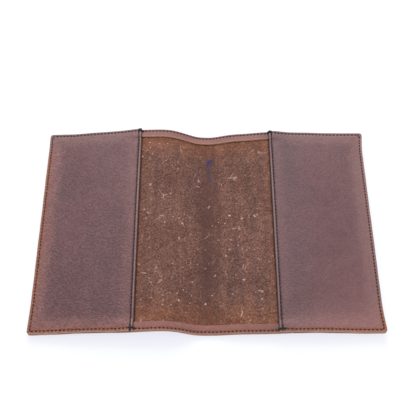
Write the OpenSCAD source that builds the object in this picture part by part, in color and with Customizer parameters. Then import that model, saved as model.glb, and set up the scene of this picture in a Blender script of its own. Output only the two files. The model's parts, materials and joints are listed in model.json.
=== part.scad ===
// Leather passport holder, lying open with its flesh side and pockets up.
// The origin is the middle of the spine's underside. +X runs along the open width towards the
// right pocket, +Y along the spine towards the top edge, and +Z up.
// The sheet is cut into straight zones at its four creases, and each zone is drawn flat, outwards
// from the crease that it turns about, before it is tilted into place.

/* [Sheet] */
// Height of the holder along the spine
holder_h = 140; // [130:1:160]
// Width of the whole sheet when it is pressed flat
sheet_w = 200; // [190:1:230]
// Radius of the four outer corners
corner_r = 2.5; // [1:0.5:5]
// Width of the level spine band between its two creases
spine_w = 11; // [10:0.5:14]

/* [Rest shape] */
// Width of the left gutter, from the spine crease to the crest
left_gutter_w = 18.5; // [14:0.5:22]
// Upward slope of the left gutter, in degrees
left_gutter_rise = 22.5; // [10:0.5:25]
// Slope of the left board, in degrees, negative where it drops outwards
left_board_rise = -4.1; // [-5:0.1:0]
// Width of the right gutter, from the spine crease to the crest
right_gutter_w = 14; // [12:0.5:22]
// Upward slope of the right gutter, in degrees
right_gutter_rise = 10; // [5:0.5:25]
// Slope of the right board, in degrees
right_board_rise = 0.5; // [-2:0.1:1]

/* [Leather] */
// Thickness of the outer cover
cover_t = 1.4; // [1.2:0.1:1.8]
// Thickness of the hem strips, and of the room that each pocket leaves for a passport's cover
strip_t = 1.0; // [0.8:0.1:1.2]
// Thickness of the pocket panels
pocket_t = 1.2; // [1:0.1:1.5]

/* [Pockets and hems] */
// Width of each pocket, from the outer edge to its mouth
pocket_w = 59; // [50:1:60]
// Width of the two hem strips along the top and bottom edges
strip_w = 5.5; // [4:0.5:8]
// Length of hem strip that is tucked under each pocket
tuck_l = 8; // [5:1:12]
// Width of the margin where a pocket lies on the cover
margin_w = 3.2; // [3:0.1:4]
// Width of the slope from that margin up to the pocket's face
slope_w = 4; // [3:0.5:8]

/* [Stitching] */
// Distance from an edge to the seam beside it
seam_inset = 1.6; // [1.4:0.1:2]
// Diameter of the thread
thread_d = 0.5; // [0.4:0.05:0.6]
// Loops of thread in each tack
tack_loops = 3; // [2:1:4]
// Distance from loop to loop in a tack
tack_pitch = 0.7; // [0.7:0.1:1]

/* [Hidden] */
$fn = 32;

LEFT = 0;
RIGHT = 1;
TOP = 1;
BOTTOM = -1;

gutter_w = [left_gutter_w, right_gutter_w];
gutter_rise = [left_gutter_rise, right_gutter_rise];
board_rise = [left_board_rise, right_board_rise];
board_w = [for (w = gutter_w) (sheet_w - spine_w) / 2 - w];

joint_gap = 0.05;               // between parts that meet at a crease
thread_gap = 0.05;              // between a thread and the leather around it
top_groove_d = 0.4;             // depth of the seam groove on the visible side
back_groove_d = 0.6;            // deeper on the back, so that the thread stays clear of a table
groove_w = thread_d + 2 * thread_gap;
strip_top = cover_t + strip_t;
pocket_top = strip_top + pocket_t;
seam_y = holder_h / 2 - seam_inset;
tack_reach = 2 * seam_inset;    // how far a tack's loops reach in from the edge
tack_w = thread_d + tack_loops * tack_pitch;
past = 1;                       // how far a cutting shape passes the face it cuts

leather = [0.36, 0.24, 0.20];
suede = [0.40, 0.26, 0.18];
hem = [0.38, 0.23, 0.18];
thread = [0.10, 0.09, 0.12];

// Setback at the crest crease, where the cover's underside is squeezed while the holder lies open
function crest_gap(side) =
    cover_t * tan((gutter_rise[side] - board_rise[side]) / 2) + joint_gap;

// Setback at a spine crease for what stands h above the cover, squeezed when the holder is shut
function fold_gap(h) = h * tan(45) + joint_gap;

// Where the mouth of a pocket is in its board's flat frame
function mouth_x(side) = board_w[side] - pocket_w;

// ---- Zones: each puts what is drawn flat, crease at x = 0 and cover's underside at z = 0, in place

module on_gutter(side) {
    mirror([side == LEFT ? 1 : 0, 0, 0])
        translate([spine_w / 2, 0, cover_t])
            rotate([0, -gutter_rise[side], 0])
                translate([0, 0, -cover_t])
                    children();
}

module on_board(side) {
    run = gutter_w[side] * cos(gutter_rise[side]);
    climb = gutter_w[side] * sin(gutter_rise[side]);
    mirror([side == LEFT ? 1 : 0, 0, 0])
        translate([spine_w / 2 + run, 0, cover_t + climb])
            rotate([0, -board_rise[side], 0])
                translate([0, 0, -cover_t])
                    children();
}

// ---- Shapes shared by several parts

// A strip of sheet from x0 to x1 over the whole height of the holder
module full_band(x0, x1, z0, z1) {
    translate([x0, -holder_h / 2, z0])
        cube([x1 - x0, holder_h, z1 - z0]);
}

// A board's outline: square at the inner end, rounded at the two outer corners
module board_outline(x0, x1) {
    corner_y = holder_h / 2 - corner_r;
    union() {
        translate([x0, -holder_h / 2])
            square([x1 - corner_r - x0, holder_h]);
        translate([x0, -corner_y])
            square([x1 - x0, 2 * corner_y]);
        for (y = [-corner_y, corner_y])
            translate([x1 - corner_r, y])
                circle(r = corner_r);
    }
}

// Straight grooves along the top and bottom edges
module edge_grooves(x0, x1, z, depth) {
    for (y = [-seam_y, seam_y])
        translate([x0, y - groove_w / 2, z])
            cube([x1 - x0, groove_w, depth]);
}

// A groove that runs along the outer edge between the two seams at the top and bottom
module end_groove(x, z, depth) {
    translate([x - groove_w / 2, -seam_y - groove_w / 2, z])
        cube([groove_w, 2 * seam_y + groove_w, depth]);
}

// One length of thread along X at the top or bottom seam
module thread_along_x(x0, x1, y, z) {
    translate([x0, y, z])
        rotate([0, 90, 0])
            cylinder(d = thread_d, h = x1 - x0);
}

// One length of thread along Y
module thread_along_y(x, y0, y1, z) {
    translate([x, y0, z])
        rotate([-90, 0, 0])
            cylinder(d = thread_d, h = y1 - y0);
}

// ---- Outer cover: one sheet of leather, cut at the creases

module outer_cover_spine() {
    half = spine_w / 2 - joint_gap;
    color(suede)
        difference() {
            full_band(-half, half, 0, cover_t);
            edge_grooves(-spine_w, spine_w, -past, back_groove_d + past);
        }
}

module outer_cover_gutter(side) {
    end = gutter_w[side] - crest_gap(side);
    color(suede)
        on_gutter(side)
            difference() {
                full_band(joint_gap, end, 0, cover_t);
                edge_grooves(-past, end + past, -past, back_groove_d + past);
            }
}

module outer_cover_board(side) {
    end = board_w[side];
    color(leather)
        on_board(side)
            difference() {
                linear_extrude(height = cover_t)
                    board_outline(crest_gap(side), end);
                edge_grooves(-past, end - seam_inset, -past, back_groove_d + past);
                end_groove(end - seam_inset, -past, back_groove_d + past);
            }
}

// ---- Hem strips along the top and bottom edges

module strip(x0, x1, edge) {
    y0 = edge == TOP ? holder_h / 2 - strip_w : -holder_h / 2;
    color(hem)
        difference() {
            translate([x0, y0, cover_t])
                cube([x1 - x0, strip_w, strip_t]);
            edge_grooves(x0 - past, x1 + past, strip_top - top_groove_d, top_groove_d + past);
        }
}

module strip_spine(edge) {
    half = spine_w / 2 - fold_gap(strip_t);
    strip(-half, half, edge);
}

module strip_gutter(side, edge) {
    on_gutter(side)
        strip(fold_gap(strip_t), gutter_w[side] - joint_gap, edge);
}

module strip_end(side, edge) {
    on_board(side)
        strip(joint_gap, mouth_x(side) + tuck_l, edge);
}

// ---- Pockets: a panel sewn down on three sides and open at its mouth

// The panel's top follows the margin, then a slope, then the level face
module pocket_section_x(side) {
    x0 = mouth_x(side);
    x1 = board_w[side];
    rotate([90, 0, 0])
        linear_extrude(height = holder_h, center = true)
            polygon([
                [x0, cover_t],
                [x1, cover_t],
                [x1, cover_t + pocket_t],
                [x1 - margin_w, cover_t + pocket_t],
                [x1 - margin_w - slope_w, pocket_top],
                [x0, pocket_top]
            ]);
}

module pocket_section_y(side) {
    half = holder_h / 2;
    translate([mouth_x(side), 0, 0])
        rotate([90, 0, 90])
            linear_extrude(height = pocket_w)
                polygon([
                    [-half, cover_t],
                    [half, cover_t],
                    [half, cover_t + pocket_t],
                    [half - margin_w, cover_t + pocket_t],
                    [half - margin_w - slope_w, pocket_top],
                    [margin_w + slope_w - half, pocket_top],
                    [margin_w - half, cover_t + pocket_t],
                    [-half, cover_t + pocket_t]
                ]);
}

// Over the tucked ends of the hem strips the panel stays up at its full height
module pocket_over_strips(side) {
    x0 = mouth_x(side);
    rotate([90, 0, 0])
        linear_extrude(height = holder_h, center = true)
            polygon([
                [x0, cover_t],
                [x0 + tuck_l + slope_w, cover_t],
                [x0 + tuck_l + slope_w, cover_t + pocket_t],
                [x0 + tuck_l, pocket_top],
                [x0, pocket_top]
            ]);
}

// The room under the panel, widened downwards past the panel's underside
module pocket_hollow(side) {
    x0 = mouth_x(side) - past;
    inner = margin_w + slope_w;
    low = margin_w - past * slope_w / strip_t;
    half = holder_h / 2;
    intersection() {
        rotate([90, 0, 0])
            linear_extrude(height = holder_h, center = true)
                polygon([
                    [x0, cover_t - past],
                    [board_w[side] - low, cover_t - past],
                    [board_w[side] - inner, strip_top],
                    [x0, strip_top]
                ]);
        translate([x0, 0, 0])
            rotate([90, 0, 90])
                linear_extrude(height = pocket_w)
                    polygon([
                        [low - half, cover_t - past],
                        [half - low, cover_t - past],
                        [half - inner, strip_top],
                        [inner - half, strip_top]
                    ]);
    }
}

// The corners of that room that the tucked strip ends fill
module strip_sockets(side) {
    x0 = mouth_x(side) - past;
    for (y = [-holder_h / 2 - past, holder_h / 2 - strip_w])
        translate([x0, y, cover_t - past])
            cube([tuck_l + past + joint_gap, strip_w + past, strip_t + past]);
}

module pocket(side) {
    end = board_w[side];
    color(leather)
        on_board(side)
            difference() {
                intersection() {
                    linear_extrude(height = pocket_top)
                        board_outline(mouth_x(side), end);
                    union() {
                        intersection() {
                            pocket_section_x(side);
                            pocket_section_y(side);
                        }
                        pocket_over_strips(side);
                    }
                }
                pocket_hollow(side);
                strip_sockets(side);
                pocket_seam_grooves(side);
            }
}

// Grooves for the edge seams and for the seam along the mouth
module pocket_seam_grooves(side) {
    start = mouth_x(side) + tuck_l + slope_w;
    end = board_w[side] - seam_inset;
    low = cover_t + pocket_t - top_groove_d;
    edge_grooves(mouth_x(side) - past, start, pocket_top - top_groove_d, top_groove_d + past);
    edge_grooves(start, end, low, top_groove_d + past);
    end_groove(end, low, top_groove_d + past);
    end_groove(mouth_x(side) + seam_inset, pocket_top - top_groove_d, top_groove_d + past);
}

// ---- Edge seam: a needle thread on the visible side and a bobbin thread on the back

function needle_z(surface) = surface - top_groove_d + thread_gap + thread_d / 2;
function bobbin_z() = back_groove_d - thread_gap - thread_d / 2;

module needle_thread_spine() {
    half = spine_w / 2 - fold_gap(strip_t + thread_d);
    color(thread)
        for (y = [-seam_y, seam_y])
            thread_along_x(-half, half, y, needle_z(strip_top));
}

module needle_thread_gutter(side) {
    color(thread)
        on_gutter(side)
            for (y = [-seam_y, seam_y])
                thread_along_x(fold_gap(strip_t + thread_d), gutter_w[side] - joint_gap,
                    y, needle_z(strip_top));
}

// On a board the thread lies on the strip, then on the raised end of the pocket, then on its margin
module needle_thread_board(side) {
    mouth = mouth_x(side);
    low_start = mouth + tuck_l + slope_w + thread_gap;
    end = board_w[side] - seam_inset;
    color(thread)
        on_board(side) {
            for (y = [-seam_y, seam_y]) {
                thread_along_x(joint_gap, mouth - thread_gap, y, needle_z(strip_top));
                thread_along_x(mouth + tack_w + thread_gap, mouth + tuck_l,
                    y, needle_z(pocket_top));
                thread_along_x(low_start, end - thread_d, y, needle_z(cover_t + pocket_t));
            }
            thread_along_y(end, -seam_y, seam_y, needle_z(cover_t + pocket_t));
        }
}

module bobbin_thread_spine() {
    half = spine_w / 2 - joint_gap;
    color(thread)
        for (y = [-seam_y, seam_y])
            thread_along_x(-half, half, y, bobbin_z());
}

module bobbin_thread_gutter(side) {
    color(thread)
        on_gutter(side)
            for (y = [-seam_y, seam_y])
                thread_along_x(joint_gap, gutter_w[side] - crest_gap(side), y, bobbin_z());
}

module bobbin_thread_board(side) {
    end = board_w[side] - seam_inset;
    color(thread)
        on_board(side) {
            for (y = [-seam_y, seam_y])
                thread_along_x(crest_gap(side), end - thread_d, y, bobbin_z());
            thread_along_y(end, -seam_y, seam_y, bobbin_z());
        }
}

// The seam along a pocket's mouth runs from tack to tack
module mouth_thread(side) {
    end_y = holder_h / 2 - tack_reach - thread_gap;
    color(thread)
        on_board(side)
            thread_along_y(mouth_x(side) + seam_inset, -end_y, end_y, needle_z(pocket_top));
}

// ---- Tacks: loops of thread round the edge at the corners of the pocket mouths

module tack(side, edge) {
    inner_z = pocket_top + thread_gap;
    edge_y = holder_h / 2;
    color(thread)
        on_board(side)
            mirror([0, edge == TOP ? 0 : 1, 0])
                for (k = [0 : tack_loops - 1])
                    translate([mouth_x(side) + thread_d + k * tack_pitch, 0, 0])
                        rotate([90, 0, 90])
                            linear_extrude(height = thread_d)
                                polygon([
                                    [edge_y - tack_reach, inner_z],
                                    [edge_y + thread_gap, inner_z],
                                    [edge_y + thread_gap, -thread_gap],
                                    [edge_y - tack_reach, -thread_gap],
                                    [edge_y - tack_reach, -thread_gap - thread_d],
                                    [edge_y + thread_gap + thread_d, -thread_gap - thread_d],
                                    [edge_y + thread_gap + thread_d, inner_z + thread_d],
                                    [edge_y - tack_reach, inner_z + thread_d]
                                ]);
}

outer_cover_spine();
outer_cover_gutter(LEFT);  // outer_cover_left_gutter
outer_cover_board(LEFT);  // outer_cover_left_board
outer_cover_gutter(RIGHT);  // outer_cover_right_gutter
outer_cover_board(RIGHT);  // outer_cover_right_board
strip_spine(TOP);  // top_strip_spine
strip_gutter(LEFT, TOP);  // top_strip_left_gutter
strip_end(LEFT, TOP);  // top_strip_left_end
strip_gutter(RIGHT, TOP);  // top_strip_right_gutter
strip_end(RIGHT, TOP);  // top_strip_right_end
strip_spine(BOTTOM);  // bottom_strip_spine
strip_gutter(LEFT, BOTTOM);  // bottom_strip_left_gutter
strip_end(LEFT, BOTTOM);  // bottom_strip_left_end
strip_gutter(RIGHT, BOTTOM);  // bottom_strip_right_gutter
strip_end(RIGHT, BOTTOM);  // bottom_strip_right_end
pocket(LEFT);  // left_pocket
pocket(RIGHT);  // right_pocket
needle_thread_spine();
needle_thread_gutter(LEFT);  // needle_thread_left_gutter
needle_thread_board(LEFT);  // needle_thread_left_board
needle_thread_gutter(RIGHT);  // needle_thread_right_gutter
needle_thread_board(RIGHT);  // needle_thread_right_board
bobbin_thread_spine();
bobbin_thread_gutter(LEFT);  // bobbin_thread_left_gutter
bobbin_thread_board(LEFT);  // bobbin_thread_left_board
bobbin_thread_gutter(RIGHT);  // bobbin_thread_right_gutter
bobbin_thread_board(RIGHT);  // bobbin_thread_right_board
mouth_thread(LEFT);  // left_mouth_thread
mouth_thread(RIGHT);  // right_mouth_thread
tack(LEFT, TOP);  // top_left_tack
tack(LEFT, BOTTOM);  // bottom_left_tack
tack(RIGHT, TOP);  // top_right_tack
tack(RIGHT, BOTTOM);  // bottom_right_tack
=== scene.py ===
"""A leather passport holder lying open, flesh side and pockets up.

Every piece is drawn on the flat pattern, in millimetres: u runs across the open width from the
spine's middle, v along the spine, and w is the height above the cover's upper face. place() rolls
the pattern into the shape in which the holder rests.
"""

import json
import math

import bpy
import numpy as np
from mathutils import Matrix, Vector


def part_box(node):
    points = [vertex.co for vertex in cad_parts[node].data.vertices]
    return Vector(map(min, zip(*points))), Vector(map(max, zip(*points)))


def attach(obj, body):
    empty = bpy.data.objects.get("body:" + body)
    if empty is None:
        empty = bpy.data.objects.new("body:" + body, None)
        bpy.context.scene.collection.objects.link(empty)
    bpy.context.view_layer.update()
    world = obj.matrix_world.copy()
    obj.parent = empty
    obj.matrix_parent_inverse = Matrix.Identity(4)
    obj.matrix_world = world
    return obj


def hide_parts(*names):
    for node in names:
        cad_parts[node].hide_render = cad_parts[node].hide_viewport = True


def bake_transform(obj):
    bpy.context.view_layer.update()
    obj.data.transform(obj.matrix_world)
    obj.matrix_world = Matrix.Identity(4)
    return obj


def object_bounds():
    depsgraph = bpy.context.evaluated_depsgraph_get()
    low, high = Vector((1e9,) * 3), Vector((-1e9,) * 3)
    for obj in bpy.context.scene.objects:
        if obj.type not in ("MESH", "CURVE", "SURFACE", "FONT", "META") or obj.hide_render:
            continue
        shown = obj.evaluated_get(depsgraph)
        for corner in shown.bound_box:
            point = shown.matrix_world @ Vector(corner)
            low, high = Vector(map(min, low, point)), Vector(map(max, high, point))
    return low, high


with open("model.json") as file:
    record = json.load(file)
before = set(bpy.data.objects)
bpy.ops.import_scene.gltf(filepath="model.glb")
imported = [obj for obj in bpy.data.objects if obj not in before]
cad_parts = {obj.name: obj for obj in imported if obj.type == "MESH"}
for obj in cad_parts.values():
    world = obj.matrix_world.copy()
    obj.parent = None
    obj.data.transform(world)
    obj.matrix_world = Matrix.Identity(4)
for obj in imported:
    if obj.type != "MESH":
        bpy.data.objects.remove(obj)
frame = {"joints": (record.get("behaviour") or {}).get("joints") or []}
CAD_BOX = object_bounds()

MM = 0.001
JOINTS = {joint["name"]: joint for joint in frame["joints"]}


# ---- Sizes, in millimetres

def half_shape(side):
    """Arc positions of a half's two creases, and the slopes of its gutter and board in degrees."""
    fold = JOINTS[side + "_spine_fold"]
    flex = JOINTS[side + "_crest_flex"]
    run = (flex["pos_m"][0] - fold["pos_m"][0]) / MM
    climb = (flex["pos_m"][2] - fold["pos_m"][2]) / MM
    crease = abs(fold["pos_m"][0]) / MM
    rise = 90 - fold["range_deg"][1]
    return crease, crease + math.hypot(run, climb), rise, rise - flex["range_deg"][1]


def thickness(node):
    """Thickness of a CAD node that lies level."""
    low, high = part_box(node)
    return (high.z - low.z) / MM


LEFT_CREASE, LEFT_CREST, LEFT_RISE, LEFT_BOARD = half_shape("left")
RIGHT_CREASE, RIGHT_CREST, RIGHT_RISE, RIGHT_BOARD = half_shape("right")
COVER_T = thickness("outer_cover_spine")
STRIP_T = thickness("top_strip_spine")
POCKET_T = 1.2
HALF_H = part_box("outer_cover_spine")[1].y / MM
HALF_W = 100.0
CORNER_R = 1.9
POCKET_W = 59.0
MOUTH = HALF_W - POCKET_W
STRIP_W = 5.5
TUCK_END = MOUTH + 8.0
SEAM_INSET = 1.6
MOUTH_SEAM = MOUTH + 1.75
STITCH_PITCH = 2.2
MOUTH_PITCH = 2.4
EDGE_ROUND = 0.28
SEWN_MARGIN = 2.3
ROOM = 0.95


# ---- The rest shape: slopes that turn smoothly at each crease, summed along the arc

def ease(t):
    """Smooth step from 0 to 1."""
    t = np.clip(t, 0, 1)
    return t * t * (3 - 2 * t)


def turn(u, centre, half):
    """Share of a bend that is made by u, for a bend spread half to each side of centre."""
    return ease((u - centre + half) / (2 * half))


def swell(u, start, end, height):
    """Slope, in degrees, of a low dome between start and end."""
    length = end - start
    t = (u - start) / length
    inside = (t > 0) & (t < 1)
    return np.where(inside, np.degrees(height * math.pi / length * np.sin(2 * math.pi * t)), 0)


LEFT_CREST_SPREAD = 9.0
RIGHT_CREST_SPREAD = 6.0
SPINE_SPREAD = 5.0


def slope(u):
    """Slope of the sheet, in degrees, going towards +u."""
    left_gutter = turn(u, -LEFT_CREST, LEFT_CREST_SPREAD)
    spine_from_left = turn(u, -LEFT_CREASE, SPINE_SPREAD)
    right_gutter = turn(u, RIGHT_CREASE, SPINE_SPREAD)
    right_board = turn(u, RIGHT_CREST, RIGHT_CREST_SPREAD)
    total = -LEFT_BOARD * (1 - left_gutter) - LEFT_RISE * (left_gutter - spine_from_left)
    total = total + RIGHT_RISE * (right_gutter - right_board) + RIGHT_BOARD * right_board
    return total + swell(u, -HALF_W, -30, 0.35) + swell(u, 25, HALF_W, 1.1)


ARC = np.arange(-110, 110.01, 0.05)
ARC_SLOPE = np.radians(slope(ARC))


def summed(rate, at_zero):
    """Running integral of rate along the arc, with a given value at the spine's middle."""
    steps = (rate[1:] + rate[:-1]) / 2 * np.diff(ARC)
    total = np.concatenate([[0], np.cumsum(steps)])
    return total - np.interp(0, ARC, total) + at_zero


ARC_X = summed(np.cos(ARC_SLOPE), 0)
ARC_Z = summed(np.sin(ARC_SLOPE), COVER_T)


def bell(t):
    """Smooth bump of height 1 at 0 and width about 1."""
    return np.exp(-t * t)


# Height, place along u and width of each hump along the far and the near edge
FAR_HUMPS = ((1.15, -46, 15), (-0.75, -85, 10), (1.60, 41, 13), (-0.55, 78, 12), (0.30, -22, 14))
NEAR_HUMPS = ((1.1, -14, 8), (-0.75, -47, 14), (-0.15, 33, 12), (-0.45, 85, 17), (-0.25, -88, 14))


def humps(u, shapes):
    """Height of one edge's humps."""
    return sum(height * bell((u - middle) / width) for height, middle, width in shapes)


def waves(u, v):
    """Unevenness of a used sheet: its humps differ at the far and near edges."""
    far = ease((v / HALF_H + 1) / 2)
    ripple = 0.10 * np.sin(u / 9.0 + 1.3) * np.sin(v / 17.0 + 0.4)
    ripple = ripple + 0.08 * np.sin(u / 14.0 - v / 21.0)
    lift = humps(u, FAR_HUMPS) * far + humps(u, NEAR_HUMPS) * (1 - far)
    return lift + ripple * ease((np.abs(u) - 10) / 15)


def waist(u, v):
    """How far the sheet's two long edges are drawn in at the spine fold."""
    return np.where(v > 0, 0.85, 0.4) * (v / HALF_H) * bell((u - 2) / 10)


def flare(u, v):
    """How far the sheet spreads outwards at its corners, most at the right."""
    reach = np.where(u > 0, 1.1, np.where(v > 0, 0.15, 0.5))
    return np.sign(u) * reach * ease((np.abs(u) - 75) / 25) * bell((HALF_H - np.abs(v)) / 9)


def place(u, v, w):
    """Positions, in millimetres in the row frame, of points of the flat pattern."""
    lean = np.interp(u, ARC, ARC_SLOPE)
    x = np.interp(u, ARC, ARC_X) - w * np.sin(lean) + flare(u, v)
    z = np.interp(u, ARC, ARC_Z) + w * np.cos(lean) + waves(u, v)
    return np.stack([x, v - waist(u, v), z], axis=-1)


# ---- Outlines and heights on the flat pattern

def edge_distance(u, v):
    """Distance in from the rounded outline of the whole sheet."""
    across = np.abs(u) - (HALF_W - CORNER_R)
    along = np.abs(v) - (HALF_H - CORNER_R)
    outside = np.hypot(np.maximum(across, 0), np.maximum(along, 0))
    return CORNER_R - outside - np.minimum(np.maximum(across, along), 0)


def seam_shift(u):
    """How much closer to the edge the seam runs along the hem strips than on the pockets."""
    return 0.25 * ease((MOUTH - np.abs(u)) / 5)


def groove(distance, depth, width=0.5):
    """Depth of the leather under a seam, by distance from it."""
    return depth * bell(distance / width)


def edge_groove(u, v, depth):
    """The groove of the seam that runs round the whole edge."""
    return groove(edge_distance(u, v) - SEAM_INSET + seam_shift(u), depth)


LIFT_STEP = 2.0
FINE_STEP = 0.5
LIFT_BLURS = 12
SIM_MM = 0.01
SIM_FRAMES = 20


def sewn_distance(across, along):
    """Distance in from a pocket's three sewn sides; across is measured from its mouth."""
    return np.minimum(POCKET_W - across, HALF_H - np.abs(along))


def grid_faces(index):
    """Faces between the points of a grid, from the grid of their numbers."""
    quads = np.stack([index[:-1, :-1], index[1:, :-1], index[1:, 1:], index[:-1, 1:]], axis=-1)
    return quads.reshape(-1, 4)


def cloth_panel(across, along):
    """A flat panel of cloth on a grid of points, held at its three sewn sides and pushed up."""
    points = np.stack([across.ravel(), along.ravel(), np.zeros(across.size)], axis=1) * SIM_MM
    index = np.arange(across.size).reshape(across.shape)
    mesh = bpy.data.meshes.new("panel_cloth")
    mesh.from_pydata(points.tolist(), [], grid_faces(index).tolist())
    panel = bpy.data.objects.new("panel_cloth", mesh)
    bpy.context.scene.collection.objects.link(panel)
    sewn = np.flatnonzero(sewn_distance(across, along).ravel() < SEWN_MARGIN)
    panel.vertex_groups.new(name="sewn").add(sewn.tolist(), 1.0, "REPLACE")
    settings = panel.modifiers.new("cloth", "CLOTH").settings
    settings.vertex_group_mass = "sewn"
    settings.quality = 8
    settings.mass = 0.3
    settings.tension_stiffness = 40
    settings.compression_stiffness = 40
    settings.shear_stiffness = 20
    settings.bending_stiffness = 6
    settings.effector_weights.gravity = -0.25
    return panel


def smoothed(across, along, heights):
    """A height field on a finer grid, blurred, and scaled so that its highest point is 1."""
    fine_across = np.arange(0, POCKET_W, FINE_STEP)
    fine_along = np.arange(-HALF_H, HALF_H + FINE_STEP, FINE_STEP)
    heights = np.array([np.interp(fine_along, along, row) for row in heights])
    heights = np.array([np.interp(fine_across, across, column) for column in heights.T]).T
    for _ in range(LIFT_BLURS):
        heights[1:-1] = (heights[:-2] + 2 * heights[1:-1] + heights[2:]) / 4
        heights[:, 1:-1] = (heights[:, :-2] + 2 * heights[:, 1:-1] + heights[:, 2:]) / 4
    return fine_across, fine_along, np.clip(heights / heights.max(), 0, 1)


def simulated_lift():
    """Height field of a sewn panel pushed up gently, found by cloth simulation.

    The panel is simulated at ten times life size, where Blender's cloth is steadier.
    """
    across = np.arange(0, POCKET_W + LIFT_STEP, LIFT_STEP) * POCKET_W / (POCKET_W + 1)
    across = np.clip(across, 0, POCKET_W)
    along = np.arange(-HALF_H, HALF_H + 0.1, LIFT_STEP)
    grid_across, grid_along = np.meshgrid(across, along, indexing="ij")
    panel = cloth_panel(grid_across, grid_along)
    for tick in range(1, SIM_FRAMES + 1):
        bpy.context.scene.frame_set(tick)
    result = panel.evaluated_get(bpy.context.evaluated_depsgraph_get()).to_mesh()
    heights = np.array([point.co.z for point in result.vertices]).reshape(grid_across.shape)
    bpy.data.objects.remove(panel)
    bpy.context.scene.frame_set(1)
    return smoothed(across, along, heights)


LIFT = simulated_lift()


def panel_lift(across, along):
    """Share, 0 to 1, of a pocket's full room under its panel."""
    if LIFT is None:
        return ease((sewn_distance(across, along) - SEWN_MARGIN) / 9)
    at_across, at_along, heights = LIFT
    i = np.clip(np.searchsorted(at_across, across) - 1, 0, len(at_across) - 2)
    j = np.clip(np.searchsorted(at_along, along) - 1, 0, len(at_along) - 2)
    s = np.clip((across - at_across[i]) / (at_across[i + 1] - at_across[i]), 0, 1)
    t = np.clip((along - at_along[j]) / (at_along[j + 1] - at_along[j]), 0, 1)
    low = heights[i, j] * (1 - s) + heights[i + 1, j] * s
    high = heights[i, j + 1] * (1 - s) + heights[i + 1, j + 1] * s
    return low * (1 - t) + high * t


def strip_bump(u, v):
    """1 where a pocket rides over a tucked strip end, falling smoothly to 0 around it."""
    along = turn(np.abs(v), HALF_H - STRIP_W - 0.9, 1.6)
    across = 1 - ease((np.abs(u) - MOUTH - 0.5) / (TUCK_END + 5 - MOUTH))
    return along * across


def pocket_low(u, v):
    """Underside of a pocket panel: on the cover at its sewn margins, lifted clear inside."""
    cover = 0.03 + ROOM * panel_lift(np.abs(u) - MOUTH, v)
    return cover + (STRIP_T + 0.02 - cover) * strip_bump(u, v)


def pocket_high(u, v):
    """Face of a pocket panel, drawn in along its seams."""
    mouth_seam = groove(np.abs(u) - MOUTH_SEAM, 0.34, 0.55)
    return pocket_low(u, v) + POCKET_T - np.maximum(edge_groove(u, v, 0.30), mouth_seam)


def strip_low(u, v):
    """Underside of a hem strip, just clear of the cover."""
    return np.full(np.shape(u), 0.02)


def strip_high(u, v):
    """Face of a hem strip, thinned towards the ends that lie under the pockets."""
    thinned = 0.75 * ease((np.abs(u) - MOUTH - 1) / (TUCK_END - MOUTH - 1))
    return STRIP_T * (1 - thinned) - edge_groove(u, v, 0.26)


def cover_low(u, v):
    """Back of the cover, with the seam drawn in."""
    return edge_groove(u, v, 0.42) - COVER_T


def cover_high(u, v):
    """Flesh side of the cover, slightly uneven where it shows."""
    bare = ease((MOUTH - np.abs(u)) / 3) * ease((HALF_H - STRIP_W - np.abs(v)) / 3)
    rough = np.sin(u * 1.9 + np.sin(v * 0.8) * 2) * np.sin(v * 1.7 + np.sin(u * 0.6) * 2)
    rough = rough + np.sin(u * 0.7 - v * 0.5 + 2 * np.sin(v * 0.23))
    return -0.03 + 0.035 * bare * (rough - 1)


def face_height(u, v):
    """Height of whatever leather is uppermost at a seam."""
    return np.where(np.abs(u) > MOUTH, pocket_high(u, v), strip_high(u, v))


# ---- Meshes

EDGE_STEPS = (0, 0.09, 0.26, 0.55, 0.95, 1.3, 1.6, 1.9, 2.25, 2.8, 3.6)


def lines(low, high, step, fine_low=False, fine_high=False):
    """Grid lines from low to high, closer together at the ends that are cut edges."""
    reach = EDGE_STEPS[-1]
    start = low + reach if fine_low else low
    end = high - reach if fine_high else high
    count = max(2, int(round((end - start) / step)) + 1)
    parts = [np.linspace(start, end, count)]
    if fine_low:
        parts.insert(0, low + np.array(EDGE_STEPS[:-1]))
    if fine_high:
        parts.append(high - np.array(EDGE_STEPS[-2::-1]))
    return np.concatenate(parts)


def round_corners(u, v):
    """Moves grid points near the sheet's four corners so that the outline turns round them."""
    a = np.clip((np.abs(u) - (HALF_W - CORNER_R)) / CORNER_R, 0, 1)
    b = np.clip((np.abs(v) - (HALF_H - CORNER_R)) / CORNER_R, 0, 1)
    at_corner = (a > 0) & (b > 0)
    across = HALF_W - CORNER_R + CORNER_R * a * np.sqrt(1 - b * b / 2)
    along = HALF_H - CORNER_R + CORNER_R * b * np.sqrt(1 - a * a / 2)
    return (
        np.where(at_corner, np.sign(u) * across, u),
        np.where(at_corner, np.sign(v) * along, v),
    )


def hand_cut(u, v, seed):
    """Shifts the outline by about a tenth of a millimetre at most, as a knife leaves it."""
    near_u = ease(1 - (HALF_W - np.abs(u)) / 1.4)
    near_v = ease(1 - (HALF_H - np.abs(v)) / 1.4)
    shift_u = 0.035 * (np.sin(v * 0.13 + seed) + np.sin(v * 0.41 + 2.1 * seed)) - 0.05
    shift_v = 0.035 * (np.sin(u * 0.11 + 1.7 * seed) + np.sin(u * 0.37 + seed)) - 0.05
    return u + np.sign(u) * shift_u * near_u, v + np.sign(v) * shift_v * near_v


def mesh_object(name, points, faces, smooth_angle):
    """A mesh object from points in millimetres."""
    mesh = bpy.data.meshes.new(name)
    mesh.from_pydata((points * MM).tolist(), [], faces)
    mesh.polygons.foreach_set("use_smooth", [True] * len(mesh.polygons))
    mesh.set_sharp_from_angle(angle=math.radians(smooth_angle))
    mesh.validate()
    obj = bpy.data.objects.new(name, mesh)
    bpy.context.scene.collection.objects.link(obj)
    return obj


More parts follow.
